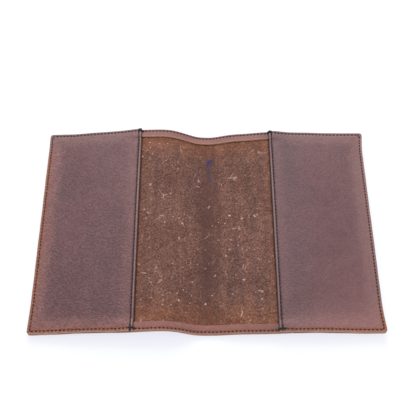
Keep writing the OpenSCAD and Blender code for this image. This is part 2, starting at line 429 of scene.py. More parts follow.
def store(obj, flat):
    """Keeps each point's place on the flat pattern, for the mesh's material to read."""
    attribute = obj.data.attributes.new("flat", "FLOAT_VECTOR", "POINT")
    attribute.data.foreach_set("vector", flat.astype(np.float32).ravel())


WALL_ROWS = 3


def slab(name, us, vs, low, high, rim, seed, materials):
    """A closed sheet of leather between the heights low(u, v) and high(u, v).

    rim(u, v) is the distance to the nearest cut edge, where the sheet is rounded over. The
    materials are those of its face, its back and its cut edges.
    """
    grid_u, grid_v = np.meshgrid(us, vs, indexing="ij")
    u, v = round_corners(grid_u, grid_v)
    distance = np.maximum(rim(u, v), 0)
    inset = np.clip(EDGE_ROUND - distance, 0, EDGE_ROUND)
    rounding = EDGE_ROUND - np.sqrt(EDGE_ROUND ** 2 - inset ** 2)
    top = high(u, v) - rounding
    bottom = low(u, v) + rounding
    u, v = hand_cut(u, v, seed)

    rows, columns = u.shape
    index = np.arange(rows * columns).reshape(rows, columns)
    loop = np.concatenate([index[:, 0], index[-1, 1:], index[-2::-1, -1], index[0, -2:0:-1]])
    flat_u, flat_v = u.ravel(), v.ravel()
    layers = [np.stack([flat_u, flat_v, top.ravel()], axis=1)]
    layers.append(np.stack([flat_u, flat_v, bottom.ravel()], axis=1))
    for row in range(1, WALL_ROWS + 1):
        share = row / (WALL_ROWS + 1)
        height = top.ravel()[loop] * (1 - share) + bottom.ravel()[loop] * share
        layers.append(np.stack([flat_u[loop], flat_v[loop], height], axis=1))
    flat = np.concatenate(layers)

    quads = grid_faces(index)
    walls = wall_faces(loop, rows * columns)
    faces = np.concatenate([quads, quads[:, ::-1] + rows * columns, walls])
    obj = mesh_object(name, place(*flat.T), faces.tolist(), 48)
    for material in materials:
        obj.data.materials.append(material)
    kinds = np.repeat([0, 1, 2], [len(quads), len(quads), len(walls)])
    obj.data.polygons.foreach_set("material_index", kinds.astype(np.int32))
    store(obj, flat)
    return obj


def wall_faces(loop, grid_size):
    """Faces of the upright wall from the face's outline down to the back's."""
    size = len(loop)
    rings = [loop]
    for row in range(WALL_ROWS):
        rings.append(2 * grid_size + row * size + np.arange(size))
    rings.append(loop + grid_size)
    faces = []
    for upper, lower in zip(rings[:-1], rings[1:]):
        faces.append(np.stack([upper, lower, np.roll(lower, -1), np.roll(upper, -1)], axis=1))
    return np.concatenate(faces)


# ---- Thread: two plies twisted round each other

PLY_R = 0.165
PLY_ORBIT = 0.13
PLY_SIDES = 6


def unit(vectors):
    """Vectors scaled to length 1."""
    return vectors / np.maximum(np.linalg.norm(vectors, axis=-1, keepdims=True), 1e-9)


def thread_mesh(name, paths, turns, material, size=1.0):
    """Short lengths of thread. paths holds, for each length, its points on the flat pattern."""
    centres = place(paths[..., 0], paths[..., 1], paths[..., 2])
    count, rings = centres.shape[:2]
    along = unit(np.gradient(centres, axis=1))
    up = np.array([0.0, 0.0, 1.0])
    sideways = np.cross(along, up)
    weak = np.linalg.norm(sideways, axis=-1, keepdims=True) < 0.2
    sideways = unit(np.where(weak, np.cross(along, [1.0, 0.0, 0.0]), sideways))
    upwards = np.cross(sideways, along)
    t = np.linspace(0, 1, rings)
    taper = np.clip(np.sin(math.pi * np.clip(t, 0.03, 0.97)) * 4, 0.5, 1)
    phase = np.arange(count) * 2.4
    points = []
    for ply in (0, math.pi):
        twist = 2 * math.pi * turns * t[None, :] + phase[:, None] + ply
        orbit = PLY_ORBIT * size
        middle = centres + orbit * (
            np.cos(twist)[..., None] * sideways + np.sin(twist)[..., None] * upwards
        )
        for side in range(PLY_SIDES):
            angle = 2 * math.pi * side / PLY_SIDES
            ring = math.cos(angle) * sideways + math.sin(angle) * upwards
            points.append(middle + PLY_R * size * taper[None, :, None] * ring)
    grid = np.stack(points).reshape(2, PLY_SIDES, count, rings, 3)
    grid = grid.transpose(2, 0, 3, 1, 4).reshape(-1, 3)
    obj = mesh_object(name, grid, tube_faces(2 * count, rings), 60)
    obj.data.materials.append(material)
    flat = np.repeat(paths[:, None, :, None, :], 2, axis=1)
    flat = np.repeat(flat, PLY_SIDES, axis=3)
    store(obj, flat.reshape(-1, 3))
    return obj


def tube_faces(tubes, rings):
    """Faces of closed tubes whose points run tube by tube, then ring by ring."""
    faces = []
    for tube in range(tubes):
        base = tube * rings * PLY_SIDES
        for ring in range(rings - 1):
            here = base + ring * PLY_SIDES
            for side in range(PLY_SIDES):
                after = (side + 1) % PLY_SIDES
                faces.append((here + side, here + PLY_SIDES + side,
                              here + PLY_SIDES + after, here + after))
        last = base + (rings - 1) * PLY_SIDES
        faces.append(tuple(base + side for side in range(PLY_SIDES)))
        faces.append(tuple(last + side for side in range(PLY_SIDES - 1, -1, -1)))
    return faces


STITCH_RINGS = 9
SEAM_R = CORNER_R - SEAM_INSET


def seam_holes():
    """Needle holes round the edge seam, evenly spaced, starting at the near edge's left end."""
    across = 2 * (HALF_W - CORNER_R)
    along = 2 * (HALF_H - CORNER_R)
    bend = math.pi / 2 * SEAM_R
    total = 2 * (across + along) + 4 * bend
    count = int(round(total / STITCH_PITCH))
    corners = [(1, -1), (1, 1), (-1, 1), (-1, -1)]
    holes = []
    for s in np.arange(count) * total / count:
        for k, (cu, cv) in enumerate(corners):
            straight = across if k % 2 == 0 else along
            if s < straight + bend:
                break
            s -= straight + bend
        du, dv = [(1, 0), (0, 1), (-1, 0), (0, -1)][k]
        middle = (cu * (HALF_W - CORNER_R), cv * (HALF_H - CORNER_R))
        if s < straight:
            back = straight - s
            holes.append((middle[0] - du * back + dv * SEAM_R, middle[1] - dv * back - du * SEAM_R))
        else:
            angle = (s - straight) / SEAM_R
            out = (dv * math.cos(angle) + du * math.sin(angle),
                   -du * math.cos(angle) + dv * math.sin(angle))
            holes.append((middle[0] + out[0] * SEAM_R, middle[1] + out[1] * SEAM_R))
    holes = np.array(holes)
    holes[:, 1] += np.sign(holes[:, 1]) * seam_shift(holes[:, 0])
    return holes


def stitch_paths(starts, ends, surface, above, sink, inset, seed):
    """Paths of stitches between holes: each arches above the surface and dives at its ends.

    inset is the share of the pitch, at each end, that is hidden by the needle hole.
    """
    rng = np.random.default_rng(seed)
    jitter = rng.normal(0, 0.04, (2, len(starts), 2))
    starts, ends = starts + jitter[0], ends + jitter[1]
    t = np.linspace(0, 1, STITCH_RINGS)
    share = inset + (1 - 2 * inset) * t
    line = starts[:, None, :] * (1 - share)[None, :, None] + ends[:, None, :] * share[None, :, None]
    height = surface(line[..., 0], line[..., 1])
    arch = np.sin(math.pi * t) ** 0.55 * (above + sink) - sink
    return np.concatenate([line, (height + arch[None, :])[..., None]], axis=-1)


# ---- Materials

# Colours, as linear red, green and blue
HALO_WARM = (0.216, 0.091, 0.084)
HALO_COOL = (0.182, 0.088, 0.089)
HALO_NEAR = (0.262, 0.126, 0.124)
RUST_WARM = (0.275, 0.092, 0.048)
RUST_COOL = (0.200, 0.105, 0.100)
LIP_PINK_AND_HIGHLIGHT = (0.262, 0.140, 0.133)
LIP_ORANGE = (0.300, 0.115, 0.082)
LIP_DARK = (0.045, 0.018, 0.015)
RIDGE_HIGHLIGHT = (0.46, 0.27, 0.215)
HEM_TAN = (0.50, 0.27, 0.19)
SPINE_BROWN = (0.070, 0.031, 0.026)
VEIN_BROWN = (0.04, 0.026, 0.026)
MOUTH_SHADE = (0.040, 0.015, 0.012)
FLECK = (0.62, 0.41, 0.32)
INK = (0.042, 0.037, 0.095)
INK_TAIL = (0.05, 0.047, 0.072)
EDGE_DEEP = (0.40, 0.195, 0.155)
EDGE_LIGHT = (0.64, 0.41, 0.34)
EDGE_FIBRE = (0.70, 0.47, 0.38)
EDGE_FRESH = (0.72, 0.48, 0.34)
EDGE_GAP_SHADE = (0.035, 0.014, 0.011)


class Surface:
    """A node material, with short ways to add nodes to it."""

    def __init__(self, name):
        self.material = bpy.data.materials.new(name)
        self.material.use_nodes = True
        self.tree = self.material.node_tree
        self.shader = self.tree.nodes["Principled BSDF"]
        self.flat = self.node("ShaderNodeAttribute", {}, attribute_name="flat").outputs["Vector"]
        parts = self.node("ShaderNodeSeparateXYZ", {0: self.flat})
        self.u, self.v, self.w = parts.outputs[0], parts.outputs[1], parts.outputs[2]

    def feed(self, socket, value):
        if isinstance(value, bpy.types.NodeSocket):
            self.tree.links.new(value, socket)
        elif isinstance(value, tuple) and len(value) == 3 and socket.type == "RGBA":
            socket.default_value = (*value, 1)
        else:
            socket.default_value = value

    def node(self, kind, inputs, **settings):
        made = self.tree.nodes.new(kind)
        for key, value in settings.items():
            setattr(made, key, value)
        for key, value in inputs.items():
            self.feed(made.inputs[key], value)
        return made

    def math(self, operation, a, b=0.0):
        return self.node("ShaderNodeMath", {0: a, 1: b}, operation=operation).outputs[0]

    def add(self, a, b):
        return self.math("ADD", a, b)

    def times(self, a, b):
        return self.math("MULTIPLY", a, b)

    def away(self, value, place=0.0):
        """Distance of a value from a place."""
        return self.math("ABSOLUTE", self.math("SUBTRACT", value, place))

    def band(self, value, low, high):
        """0 below low, 1 above high, smooth between."""
        inputs = {0: value, 1: low, 2: high}
        return self.node("ShaderNodeMapRange", inputs, interpolation_type="SMOOTHSTEP").outputs[0]

    def fall(self, value, low, high):
        """1 below low, 0 above high, smooth between."""
        return self.band(value, high, low)

    def noise(self, scale, detail=3.0, roughness=0.5, coords=None, distortion=0.0):
        inputs = {"Vector": coords or self.flat, "Scale": scale, "Detail": detail,
                  "Roughness": roughness, "Distortion": distortion}
        return self.node("ShaderNodeTexNoise", inputs).outputs[0]

    def warped(self, scale, amount):
        """The flat coordinates, pushed about by noise."""
        inputs = {"Vector": self.flat, "Scale": scale, "Detail": 2.0}
        push = self.node("ShaderNodeTexNoise", inputs).outputs["Color"]
        centred = self.node("ShaderNodeVectorMath", {0: push, 1: (0.5, 0.5, 0.5)},
                            operation="SUBTRACT").outputs[0]
        scaled = self.node("ShaderNodeVectorMath", {0: centred, "Scale": amount},
                           operation="SCALE").outputs[0]
        return self.node("ShaderNodeVectorMath", {0: self.flat, 1: scaled}).outputs[0]

    def stretched(self, sizes, angle=0.0, coords=None):
        """Coordinates for features of the given sizes, in millimetres, turned by an angle."""
        inputs = {"Vector": coords or self.flat, "Rotation": (0, 0, angle), "Scale": sizes}
        return self.node("ShaderNodeMapping", inputs, vector_type="TEXTURE").outputs[0]

    def cells(self, scale, coords=None, feature="F1", output="Distance"):
        inputs = {"Vector": coords or self.flat, "Scale": scale}
        return self.node("ShaderNodeTexVoronoi", inputs, feature=feature).outputs[output]

    def mix(self, share, a, b, blend="MIX"):
        made = self.node("ShaderNodeMix", {0: share, 6: a, 7: b}, data_type="RGBA",
                         blend_type=blend)
        return made.outputs[2]

    def scaled(self, colour, factors):
        """A colour multiplied by a factor for each of red, green and blue."""
        return self.mix(1.0, colour, factors, "MULTIPLY")

    def tint(self, share, colour, factors):
        """A colour that is scaled by a share only."""
        return self.mix(share, colour, self.scaled(colour, factors))

    def bump(self, height, depth, normal=None):
        """Bump whose full height is depth millimetres."""
        inputs = {"Height": height, "Distance": depth * MM, "Strength": 1.0}
        if normal is not None:
            inputs["Normal"] = normal
        return self.node("ShaderNodeBump", inputs).outputs[0]

    def finish(self, colour, roughness, normal, specular=0.5):
        self.feed(self.shader.inputs["Base Color"], colour)
        self.feed(self.shader.inputs["Roughness"], roughness)
        self.feed(self.shader.inputs["Normal"], normal)
        self.feed(self.shader.inputs["Specular IOR Level"], specular)
        return self.material


def outer_distance(s):
    """Distance in from the holder's outline."""
    across = s.math("SUBTRACT", HALF_W, s.away(s.u))
    along = s.math("SUBTRACT", HALF_H, s.away(s.v))
    return s.math("MINIMUM", across, along)


def towards_near(s, start, end):
    """0 at start, 1 at end, both measured from the middle towards the near edge."""
    return s.fall(s.v, -end, -start)


def lip(s, start, full, fade, end):
    """A band along a pocket's mouth, between two distances in from it."""
    inward = s.math("SUBTRACT", s.away(s.u), MOUTH)
    band = s.times(s.band(inward, start, full), s.fall(inward, fade, end))
    return s.times(band, s.band(s.w, STRIP_T + 0.25, STRIP_T + 0.45))


def ripples(s, length, width, angle, flow):
    """Fine folds that follow one another in slowly curving rows; 1 is the bottom of one."""
    coords = s.stretched((length, width, 1), angle, s.warped(0.035, flow))
    return s.band(s.noise(1.0, 1.0, 0.4, coords, 0.5), 0.40, 0.60)


def wear_and_seam_highlight(s, colour, worn, patches, fine):
    """Lighter leather round the outline, painted highlight beside the mouth seams, and rust at the
    very edge.
    """
    outer = outer_distance(s)
    right_side = s.times(s.band(s.u, 82.0, 96.0), s.band(s.v, -66.0, -45.0))
    cool = s.math("MAXIMUM", s.band(s.v, 50.0, 69.0), s.times(right_side, 0.85))
    halo = s.mix(cool, HALO_WARM, HALO_COOL)
    ragged = s.add(outer, s.times(s.add(patches, -0.5), 9.0))
    colour = s.mix(s.times(s.fall(ragged, 4.5, 12.0), 0.8 * worn), colour, halo)
    near_right = s.times(s.band(s.u, MOUTH, HALF_W), towards_near(s, 10.0, HALF_H))
    colour = s.mix(s.times(near_right, 0.5 * worn), colour, halo)
    at_near_edge = s.times(s.band(s.u, MOUTH, MOUTH + 10.0), towards_near(s, 48.0, HALF_H))
    colour = s.mix(s.times(at_near_edge, 0.6 * worn), colour, HALO_NEAR)
    # Painted highlight on the crest where the pocket rises beside its mouth seam.
    seam_crest_highlight = s.times(s.add(0.5, s.times(patches, 0.5)), lip(s, 2.3, 3.2, 4.5, 11.0))
    colour = s.mix(s.times(seam_crest_highlight, 0.55), colour, halo)
    frayed = s.add(outer, s.times(s.add(fine, -0.5), 3.0))
    rust = s.mix(cool, RUST_WARM, RUST_COOL)
    return s.mix(s.times(s.fall(frayed, 1.6, 4.2), 0.9 * worn), colour, rust)


def mouth_and_hem(s, colour):
    """The mouths' lips, a painted highlight on the outline's ridge and the far strip's tan cut
    line.
    """
    # The lip's own pinker colour, with a painted highlight on its rounded top.
    colour = s.mix(lip(s, 0.40, 0.75, 1.25, 1.70), colour, LIP_PINK_AND_HIGHLIGHT)
    colour = s.mix(s.times(lip(s, 0.15, 0.35, 0.50, 0.80), 0.40), colour, LIP_ORANGE)
    # Painted highlight along the rounded ridge of the outline.
    ridge_highlight = s.fall(outer_distance(s), 0.10, 0.50)
    colour = s.mix(s.times(ridge_highlight, 0.7), colour, RIDGE_HIGHLIGHT)
    on_strip = s.times(s.band(s.w, 0.2, 0.5), s.fall(s.w, STRIP_T, STRIP_T + 0.3))
    hem_line = s.times(s.fall(s.away(s.v, HALF_H - STRIP_W), 0.35, 0.75), on_strip)
    colour = s.mix(s.times(hem_line, 0.6), colour, HEM_TAN)
    colour = s.mix(s.times(lip(s, -1.0, -0.9, 0.25, 0.55), 0.9), colour, LIP_DARK)
    near_strip = s.times(on_strip, s.times(towards_near(s, 0.0, 30.0), s.band(s.u, -60.0, 20.0)))
    colour = s.tint(near_strip, colour, (0.92, 0.91, 0.87))
    # Painted shade where the right pocket slopes down more steeply beside its mouth.
    right_mouth_slope_shade = s.times(s.band(s.u, 30.0, 40.0), s.fall(s.u, 44.0, 72.0))
    return s.tint(right_mouth_slope_shade, colour, (0.80, 0.85, 0.90))


def grain_leather(name, deep, light, worn, shine):
    """Waxy full-grain leather, finely rippled, mostly towards its near left, with painted light and
    shade on its grain and folds.

    deep and light are its colours, worn is the share of wear and grain that shows, and shine is
    its specular level.
    """
    s = Surface(name)
    patches = s.noise(0.16, 4.0, 0.6)
    fine = s.noise(1.5, 4.0, 0.65)
    tone = s.add(s.times(s.noise(0.03, 2.0), 0.45), s.times(patches, 0.55))
    colour = s.mix(s.band(tone, 0.34, 0.66), deep, light)
    colour = wear_and_seam_highlight(s, colour, worn, patches, fine)
    colour = mouth_and_hem(s, colour)

    pebbled = s.warped(0.7, 0.9)
    pebbles = s.times(s.cells(0.85, pebbled, "SMOOTH_F1"), 0.7)
    pebbles = s.add(pebbles, s.times(s.cells(1.9, pebbled, "SMOOTH_F1"), 0.3))
    grain = s.band(pebbles, 0.28, 0.66)
    folds = s.times(ripples(s, 1.7, 0.62, -0.45, 13.0), 0.6)
    folds = s.add(folds, s.times(ripples(s, 1.2, 0.52, 0.05, 10.0), 0.4))
    near_left = s.band(s.add(s.times(s.u, -0.6), s.times(s.v, -0.5)), -40, 60)
    openness = s.add(0.30 * worn, s.times(near_left, 0.70 * worn))
    # Painted light and shade of the grain and folds: a lit copy of the colour on their tops, a
    # shaded copy in their hollows.
    lit_grain = s.scaled(colour, (1.16, 1.16, 1.17))
    shaded_grain = s.scaled(colour, (0.52, 0.50, 0.52))
    grain_shading = s.add(s.times(grain, 0.20), s.times(folds, 0.75))
    colour = s.mix(openness, colour, s.mix(grain_shading, lit_grain, shaded_grain))
    colour = s.tint(s.times(s.band(fine, 0.35, 0.75), 0.30), colour, (1.55, 1.5, 1.5))

    rough = s.add(0.42, s.add(s.times(patches, 0.12), s.times(grain, 0.12)))
    height = s.math("SUBTRACT", s.times(fine, 0.30), s.add(s.times(grain, 0.35), folds))
    normal = s.bump(s.times(height, s.add(0.25, s.times(openness, 0.75))), 0.13)
    normal = s.bump(s.noise(0.22, 2.0), 0.20, normal)
    return s.finish(colour, rough, normal, shine)


def suede(name, dark, light):
    """Flesh side: fibrous, mottled, with pale flecks, faint veins, a darker spine and painted
    shadow by the mouths.
    """
    s = Surface(name)
    slow = s.noise(0.045, 3.0)
    blots = s.noise(0.25, 4.0, 0.6)
    nap = s.noise(0.90, 4.0, 0.75)
    fibres = s.noise(1.0, 4.0, 0.7, s.stretched((3.0, 0.55, 1), 0.5))
    fibres_back = s.noise(1.0, 4.0, 0.7, s.stretched((0.6, 2.8, 1), 0.3))
    weave = s.add(s.times(fibres, 0.5), s.times(fibres_back, 0.5))
    slow_tone = s.add(s.times(slow, 0.5), s.times(blots, 0.5))
    colour = s.mix(s.band(slow_tone, 0.34, 0.66), dark, light)
    fine_tone = s.add(s.times(nap, 0.65), s.times(weave, 0.35))
    fresh = unworn(s, blots)
    contrast = s.math("SUBTRACT", 0.88, s.times(fresh, 0.28))
    colour = s.tint(s.times(s.fall(fine_tone, 0.39, 0.50), contrast), colour, (0.34, 0.30, 0.29))
    colour = s.tint(s.times(s.band(fine_tone, 0.50, 0.61), contrast), colour, (2.2, 2.15, 2.1))
    pits = s.fall(s.cells(1.0, s.warped(1.2, 1.0), "SMOOTH_F1"), 0.10, 0.45)
    colour = s.mix(s.times(pits, 0.30), colour, dark)

    streaks = s.noise(1.0, 3.0, 0.5, s.stretched((5.0, 70.0, 1)))
    colour = s.tint(s.times(s.band(streaks, 0.42, 0.66), 0.8), colour, (0.78, 0.82, 0.90))
    at_spine = s.fall(s.add(s.away(s.u, 1.5), s.times(blots, 4.0)), 2.0, 13.0)
    at_ends = s.band(s.away(s.v), 30.0, 62.0)
    spine_share = s.math("SUBTRACT", 0.62, s.times(at_ends, 0.22))
    colour = s.mix(s.times(at_spine, spine_share), colour, SPINE_BROWN)
    colour = s.tint(s.times(fresh, 0.8), colour, (1.32, 1.09, 0.80))
    in_vein = s.fall(s.cells(0.045, s.warped(0.06, 14.0), "DISTANCE_TO_EDGE"), 0.0, 0.03)
    vein_share = s.times(s.times(in_vein, s.band(slow, 0.45, 0.6)), s.band(s.u, 8, 20))
    colour = s.mix(s.times(vein_share, 0.4), colour, VEIN_BROWN)
    colour = flecks(s, colour)
    colour = ink_spot(s, colour)
    # Painted shadow of the gap under each pocket's mouth, on the flesh side beside it.
    off_mouth = s.math("SUBTRACT", MOUTH, s.away(s.u))
    mouth_gap_shadow = s.fall(s.add(off_mouth, s.times(blots, 0.8)), 0.5, 1.5)
    colour = s.mix(s.times(mouth_gap_shadow, 0.75), colour, MOUTH_SHADE)

    normal = s.bump(s.add(s.times(nap, 0.6), s.times(weave, 0.6)), 0.30)
    s.feed(s.shader.inputs["Sheen Weight"], 0.12)
    s.feed(s.shader.inputs["Sheen Roughness"], 0.5)
    s.feed(s.shader.inputs["Sheen Tint"], (0.8, 0.6, 0.5))
    return s.finish(colour, 0.92, normal, 0.15)


def unworn(s, blots):
    """Share of the flesh side's first, warmer colour, which is left at its borders."""
    ragged = s.times(s.add(blots, -0.5), 14.0)
    near = s.band(s.add(s.times(s.v, -1.0), ragged), 44.0, 64.0)
    far = s.band(s.add(s.v, ragged), 46.0, 64.0)
    aside = s.band(s.add(s.away(s.u), ragged), 33.0, 42.0)
    return s.math("MAXIMUM", near, s.math("MAXIMUM", far, s.times(aside, 0.45)))


def scattered(s, coords, scale, size, keep, channel=0):
    """Spots at random places, as a share of 1; keep is the part of all cells left empty."""
    distance = s.cells(scale, coords)
    chance = s.node("ShaderNodeSeparateXYZ",
                    {0: s.cells(scale, coords, "F1", "Color")}).outputs[channel]
    return s.times(s.fall(distance, size * 0.3, size), s.band(chance, keep, keep + 0.12))


def flecks(s, colour):
    """Pale spots, mostly in two rows, and thin curved scratches over the flesh side."""
    for scale, size, keep in ((0.13, 0.12, 0.80), (0.24, 0.15, 0.80), (0.45, 0.20, 0.82)):
        spots = scattered(s, s.warped(1.0, 1.3), scale, size, keep)
        colour = s.mix(s.times(spots, 0.85), colour, FLECK)
    in_row = s.fall(s.away(s.away(s.u), 33.0), 2.0, 5.0)
    row_spots = scattered(s, s.warped(0.8, 1.5), 0.21, 0.20, 0.45, 1)
    colour = s.mix(s.times(s.times(row_spots, in_row), 0.8), colour, FLECK)
    for angle, width, length in ((0.25, 5.0, 30.0), (-0.3, 3.4, 18.0), (1.3, 3.0, 14.0)):
        coords = s.stretched((width, length, 1), angle, s.warped(0.09, 9.0))
        streak = scattered(s, coords, 1.0, 0.20, 0.84, 1)
        colour = s.mix(s.times(streak, 0.65), colour, FLECK)
    scratch = s.fall(s.cells(0.075, s.warped(0.20, 5.0), "DISTANCE_TO_EDGE"), 0.006, 0.030)
    here = s.band(s.noise(0.085, 2.0), 0.58, 0.68)
    return s.mix(s.times(s.times(scratch, here), 0.42), colour, FLECK)


def ink_spot(s, colour):
    """A small blue stain beside the spine, with a faint tail."""
    du = s.math("SUBTRACT", s.u, 2.6)
    dv = s.math("SUBTRACT", s.v, 50.0)
    ragged = s.times(s.noise(0.7, 3.0), 3.4)
    across = s.add(du, s.times(dv, -0.45))
    reach = s.math("SQRT", s.add(s.times(across, across), s.times(s.times(dv, dv), 0.30)))
    below = s.math("SQRT", s.add(s.times(du, s.times(du, 2.0)),
                                 s.times(s.math("POWER", s.add(dv, 8.5), 2.0), 0.035)))
    tail = s.fall(s.add(below, ragged), 2.4, 4.0)
    colour = s.mix(s.times(tail, 0.55), colour, INK_TAIL)
    spot = s.fall(s.add(reach, ragged), 2.6, 3.9)
    return s.mix(s.times(spot, 0.9), colour, INK)


def cut_edge(name):
    """Raw cut edge: layered fibres, pale where trimmed, with painted shade on the mouths' edges."""
    s = Surface(name)
    layers = s.noise(1.0, 4.0, 0.6, s.stretched((4.0, 4.0, 0.2)))
    fibres = s.noise(2.2, 4.0, 0.7)
    colour = s.mix(s.band(layers, 0.35, 0.7), EDGE_DEEP, EDGE_LIGHT)
    colour = s.mix(s.times(fibres, 0.3), colour, EDGE_FIBRE)
    across = s.away(s.v)
    fresh = s.fall(across, HALF_H - STRIP_W + 0.3, HALF_H - 1.0)
    colour = s.mix(s.times(fresh, 0.7), colour, EDGE_FRESH)
    # Painted shade on each mouth's cut edge, in the gap under the pocket.
    off_mouth = s.math("MAXIMUM", s.away(s.away(s.u), MOUTH),
                       s.math("SUBTRACT", across, HALF_H - 1.6))
    gap_edge_shade = s.fall(off_mouth, 0.3, 0.6)
    colour = s.mix(s.times(gap_edge_shade, 0.93), colour, EDGE_GAP_SHADE)
    normal = s.bump(s.add(layers, s.times(fibres, 0.5)), 0.12)
    return s.finish(colour, 0.75, normal, 0.3)


def thread_material(name):
    """Waxed thread, blue-black."""
    s = Surface(name)
    fuzz = s.noise(6.0, 4.0, 0.7)
    colour = s.mix(fuzz, (0.006, 0.007, 0.012), (0.022, 0.024, 0.036))
    return s.finish(colour, 0.55, s.bump(fuzz, 0.04), 0.35)


POCKET_LEATHER = grain_leather("pocket_leather", (0.100, 0.039, 0.044), (0.133, 0.054, 0.060),
                               1.0, 0.40)
STRIP_LEATHER = grain_leather("strip_leather", (0.262, 0.132, 0.116), (0.320, 0.163, 0.144),
                              0.4, 0.08)
COVER_GRAIN = grain_leather("cover_grain", (0.101, 0.038, 0.038), (0.134, 0.054, 0.052),
                            1.0, 0.45)
SUEDE = suede("suede", (0.115, 0.054, 0.042), (0.185, 0.092, 0.071))
CUT_EDGE = cut_edge("cut_edge")
THREAD = thread_material("waxed_thread")


# ---- Zones: a sheet that crosses the creases is made in four pieces, each over one crease

ZONES = {
    "left": dict(
        ends=(-HALF_W, -13.0), bodies=("left_gutter", "left_board"),
        bend=(-LEFT_CREST + LEFT_CREST_SPREAD, -LEFT_CREST - LEFT_CREST_SPREAD),
    ),
    "spine_left": dict(
        ends=(-13.0, 0.0), bodies=("spine", "left_gutter"),
        bend=(-LEFT_CREASE + SPINE_SPREAD, -LEFT_CREASE - SPINE_SPREAD),
    ),
    "spine_right": dict(
        ends=(0.0, 12.0), bodies=("spine", "right_gutter"),
        bend=(RIGHT_CREASE - SPINE_SPREAD, RIGHT_CREASE + SPINE_SPREAD),
    ),
    "right": dict(
        ends=(12.0, HALF_W), bodies=("right_gutter", "right_board"),
        bend=(RIGHT_CREST - RIGHT_CREST_SPREAD, RIGHT_CREST + RIGHT_CREST_SPREAD),
    ),
}


def follow(obj, zone, prefix, end_name="board"):
    """Bakes a piece's placement into its mesh, and hides the CAD nodes of its zone's bodies, which
    it covers.
    """
    bodies = ZONES[zone]["bodies"]
    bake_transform(obj)
    nodes = [prefix + "_" + body.replace("board", end_name) for body in bodies]
    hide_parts(*nodes)


def in_zone(u, zone):
    """Which arc positions are in a zone."""
    low, high = ZONES[zone]["ends"]
    return (u >= low) & (u < high)


COVER_STEP = 1.1
STRIP_STEP = 0.8
POCKET_STEP = 0.8
INNER_STEPS = (0, 0.09, 0.26, 0.7)
COVER_V = lines(-HALF_H, HALF_H, COVER_STEP, True, True)


def build_cover():
    """The outer cover, flesh side up."""
    for zone, data in ZONES.items():
        low, high = data["ends"]
        us = lines(low, high, COVER_STEP, low == -HALF_W, high == HALF_W)
        obj = slab("outer_cover_" + zone, us, COVER_V, cover_low, cover_high, edge_distance,
                   0.4, (SUEDE, COVER_GRAIN, CUT_EDGE))
        follow(obj, zone, "outer_cover")


def strip_rim(u, v):
    """Distance to a strip's cut edges."""
    inner = np.abs(v) - (HALF_H - STRIP_W)
    return np.minimum(edge_distance(u, v), np.minimum(inner, TUCK_END - np.abs(u)))


def build_strips():
    """The hem strips, tucked under the pockets at both ends."""
    across = np.concatenate([EDGE_STEPS, [4.3], STRIP_W - np.array(INNER_STEPS[::-1])])
    for edge, sign in (("top", 1), ("bottom", -1)):
        vs = np.sort(sign * (HALF_H - across))
        for zone, data in ZONES.items():
            low, high = data["ends"]
            us = lines(max(low, -TUCK_END), min(high, TUCK_END), STRIP_STEP)
            obj = slab(edge + "_strip_" + zone, us, vs, strip_low, strip_high, strip_rim,
                       1.9 + sign, (STRIP_LEATHER, SUEDE, CUT_EDGE))
            follow(obj, zone, edge + "_strip", "end")


def pocket_rim(u, v):
    """Distance to a pocket's cut edges, its mouth included."""
    return np.minimum(edge_distance(u, v), np.abs(u) - MOUTH)


def build_pockets():
    """The two pocket panels, open at their mouths."""
    vs = lines(-HALF_H, HALF_H, POCKET_STEP, True, True)
    for side, low, high in (("left", -HALF_W, -MOUTH), ("right", MOUTH, HALF_W)):
        us = lines(low, high, POCKET_STEP, True, True)
        obj = slab(side + "_pocket", us, vs, pocket_low, pocket_high, pocket_rim, 3.1,
                   (POCKET_LEATHER, SUEDE, CUT_EDGE))
        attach(obj, side + "_board")
        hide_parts(side + "_pocket")


def build_edge_seam():
    """The lockstitch round the edge: needle thread on the face, bobbin thread on the back."""
    holes = seam_holes()
    ends = np.roll(holes, -1, axis=0)
    middles = (holes[:, 0] + ends[:, 0]) / 2
    needle = stitch_paths(holes, ends, face_height, 0.24, 0.52, 0.19, 5)
    bobbin = stitch_paths(holes, ends, cover_low, -0.18, -0.50, 0.12, 6)
    for zone in ZONES:
        chosen = in_zone(middles, zone)
        for kind, paths in (("needle_thread", needle), ("bobbin_thread", bobbin)):
            obj = thread_mesh(kind + "_" + zone, paths[chosen], 0.8, THREAD, 1.35)
            follow(obj, zone, kind)


def build_mouth_seams():
    """The seam beside each pocket's mouth, through the panel only."""
    end = HALF_H - 2.6
    count = int(round(2 * end / MOUTH_PITCH))
    holes = np.linspace(-end, end, count + 1)
    for side, sign in (("left", -1), ("right", 1)):
        line = np.stack([np.full(count + 1, sign * MOUTH_SEAM), holes], axis=1)
        paths = stitch_paths(line[:-1], line[1:], pocket_high, 0.26, 0.30, 0.04, 11 + sign)
        obj = thread_mesh(side + "_mouth_thread", paths, 1.2, THREAD, 1.25)
        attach(obj, side + "_board")
        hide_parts(side + "_mouth_thread")


# ---- Tacks: loops of thread that lock the corners of the pocket mouths

TACK_RINGS = 40


def resample(points, signs):
    """An evenly spaced path through points, rounded at its corners and mirrored by its signs."""
    points = np.array(points, float) * (*signs, 1)
    steps = np.linalg.norm(np.diff(points, axis=0), axis=1)
    at = np.concatenate([[0], np.cumsum(steps)])
    even = np.linspace(0, at[-1], TACK_RINGS)
    path = np.stack([np.interp(even, at, points[:, k]) for k in range(3)], axis=1)
    for _ in range(3):
        path[1:-1] = (path[:-2] + 2 * path[1:-1] + path[2:]) / 4
    return path


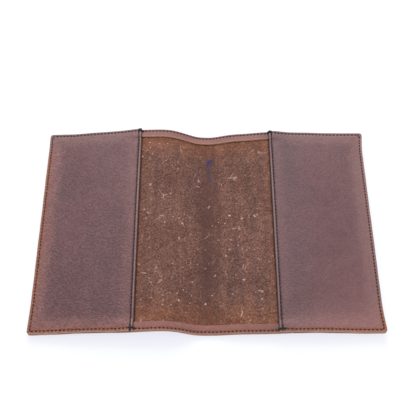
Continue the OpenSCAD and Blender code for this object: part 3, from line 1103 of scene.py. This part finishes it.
def through_edge(signs, start_u, end_u, inset, turn_at, under):
    """A loop from a hole on the face, down turn_at past the edge, and back in at height under."""
    hole = HALF_H - inset
    out = HALF_H + turn_at
    middle = (start_u + end_u) / 2
    top = float(pocket_high(np.array(signs[0] * start_u), np.array(signs[1] * hole)))
    return resample([
        (start_u, hole, top - 0.4),
        (start_u, hole + 0.15, top + 0.22),
        (middle, out - 0.4, STRIP_T + POCKET_T + 0.22),
        (middle, out, STRIP_T + POCKET_T - 0.2),
        (middle, out, under + 0.35),
        (end_u, out - 0.4, under),
        (end_u, hole, under + 0.05),
        (end_u, hole, under + 0.55),
    ], signs)


def over_mouth(signs, v, start_u, end_u):
    """A loop from a pocket's face across its mouth to the hem strip."""
    face = STRIP_T + POCKET_T
    return resample([
        (start_u, v, face - 0.5),
        (start_u, v, face + 0.12),
        (MOUTH + 0.5, v, face + 0.2),
        (MOUTH - 0.25, v, face - 0.2),
        (MOUTH - 0.45, v, STRIP_T + 0.25),
        (end_u, v, STRIP_T + 0.1),
        (end_u, v, STRIP_T - 0.4),
    ], signs)


BEHIND = -COVER_T - 0.15

# signs: towards +u or -u, +v or -v. loops: start, end and inset. bars: v, start and end.
TACKS = {
    "bottom_left": dict(
        signs=(-1, -1), turn_at=0.05, under=0.75,
        loops=((42.95, 43.0, 4.0), (42.6, 42.6, 3.6)),
        bars=((68.2, 43.3, 40.2), (68.6, 43.2, 39.9)),
    ),
    "bottom_right": dict(
        signs=(1, -1), turn_at=-1.6, under=BEHIND,
        loops=((42.9, 42.8, 5.2), (43.2, 43.2, 4.4)),
        bars=((68.0, 44.6, 41.0), (68.4, 44.8, 40.8)),
    ),
    "top_left": dict(
        signs=(-1, 1), turn_at=0.12, under=BEHIND,
        loops=((43.4, 42.3, 2.6), (42.9, 41.9, 2.4), (42.4, 41.5, 2.0), (41.7, 41.0, 1.6)),
        bars=((68.2, 42.9, 40.1), (68.7, 43.0, 39.8)),
    ),
    "top_right": dict(
        signs=(1, 1), turn_at=0.12, under=BEHIND,
        loops=((43.0, 42.0, 3.2), (42.7, 41.6, 2.4), (42.2, 41.2, 1.6)),
        bars=((68.9, 43.0, 40.2), (69.4, 43.1, 40.4)),
    ),
}


def build_tacks():
    """The four thread tacks."""
    for name, tack in TACKS.items():
        signs = tack["signs"]
        ends = (tack["turn_at"], tack["under"])
        loops = [through_edge(signs, *loop, *ends) for loop in tack["loops"]]
        loops += [over_mouth(signs, *bar) for bar in tack["bars"]]
        obj = thread_mesh(name + "_tack", np.stack(loops), 4.0, THREAD, 1.2)
        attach(obj, ("left" if signs[0] < 0 else "right") + "_board")
        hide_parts(name + "_tack")


# ---- Stage, light and camera

def plain_material(name, colour, roughness):
    """An even material for the stage."""
    material = bpy.data.materials.new(name)
    material.use_nodes = True
    shader = material.node_tree.nodes["Principled BSDF"]
    shader.inputs["Base Color"].default_value = (*colour, 1)
    shader.inputs["Roughness"].default_value = roughness
    shader.inputs["Specular IOR Level"].default_value = 0.1
    return material


def build_stage():
    """A wide pale floor under the holder, lit a little from within like a light table."""
    half = 4.0
    level = CAD_BOX[0].z - 0.2 * MM
    mesh = bpy.data.meshes.new("floor")
    corners = [(x * half, y * half, level) for x, y in ((-1, -1), (1, -1), (1, 1), (-1, 1))]
    mesh.from_pydata(corners, [], [(0, 1, 2, 3)])
    floor = bpy.data.objects.new("floor", mesh)
    bpy.context.scene.collection.objects.link(floor)
    material = plain_material("pale_floor", (0.27, 0.27, 0.23), 0.9)
    shader = material.node_tree.nodes["Principled BSDF"]
    shader.inputs["Emission Color"].default_value = (0.875, 0.90, 1.0, 1)
    shader.inputs["Emission Strength"].default_value = 0.80
    mesh.materials.append(material)


def area_light(name, position, size, power, colour):
    """A soft square lamp aimed at the holder."""
    lamp = bpy.data.lights.new(name, "AREA")
    lamp.size = size
    lamp.energy = power
    lamp.color = colour
    obj = bpy.data.objects.new(name, lamp)
    obj.location = position
    obj.rotation_euler = (-Vector(position)).to_track_quat("-Z", "Y").to_euler()
    bpy.context.scene.collection.objects.link(obj)


def build_light():
    """A white surround, brighter to the camera than as light, and a soft lamp behind the holder."""
    world = bpy.data.worlds.new("surround")
    world.use_nodes = True
    tree = world.node_tree
    background = tree.nodes["Background"]
    background.inputs["Color"].default_value = (0.985, 0.99, 1.0, 1)
    rays = tree.nodes.new("ShaderNodeLightPath")
    strength = tree.nodes.new("ShaderNodeMapRange")
    strength.inputs["To Min"].default_value = 0.83
    strength.inputs["To Max"].default_value = 1.05
    tree.links.new(rays.outputs["Is Camera Ray"], strength.inputs["Value"])
    tree.links.new(strength.outputs["Result"], background.inputs["Strength"])
    bpy.context.scene.world = world
    area_light("window", (-0.06, 0.95, 0.80), 0.9, 12.0, (1.0, 0.995, 0.985))
    bpy.context.scene.view_settings.view_transform = "Standard"


CAMERA_AT = (-0.0024, -0.2750, 0.4390)
CAMERA_LENS = 74.36
CAMERA_PITCH, CAMERA_YAW, CAMERA_ROLL = 56.445, 0.828, 0.586


def build_camera():
    """The viewpoint: from the near side, about 56 degrees above the table."""
    pitch, yaw, roll = (math.radians(a) for a in (CAMERA_PITCH, CAMERA_YAW, CAMERA_ROLL))
    forward = Vector((math.sin(yaw) * math.cos(pitch), math.cos(yaw) * math.cos(pitch),
                      -math.sin(pitch)))
    level = Vector((math.cos(yaw), -math.sin(yaw), 0))
    above = level.cross(forward)
    right = level * math.cos(roll) + above * math.sin(roll)
    up = above * math.cos(roll) - level * math.sin(roll)
    data = bpy.data.cameras.new("camera")
    data.lens = CAMERA_LENS
    data.sensor_width = 36.0
    camera = bpy.data.objects.new("camera", data)
    turn_matrix = Matrix((right, up, -forward)).transposed().to_4x4()
    camera.matrix_world = Matrix.Translation(CAMERA_AT) @ turn_matrix
    bpy.context.scene.collection.objects.link(camera)
    bpy.context.scene.camera = camera


build_cover()
build_strips()
build_pockets()
build_edge_seam()
build_mouth_seams()
build_tacks()
build_stage()
build_light()
build_camera()

bpy.context.view_layer.update()
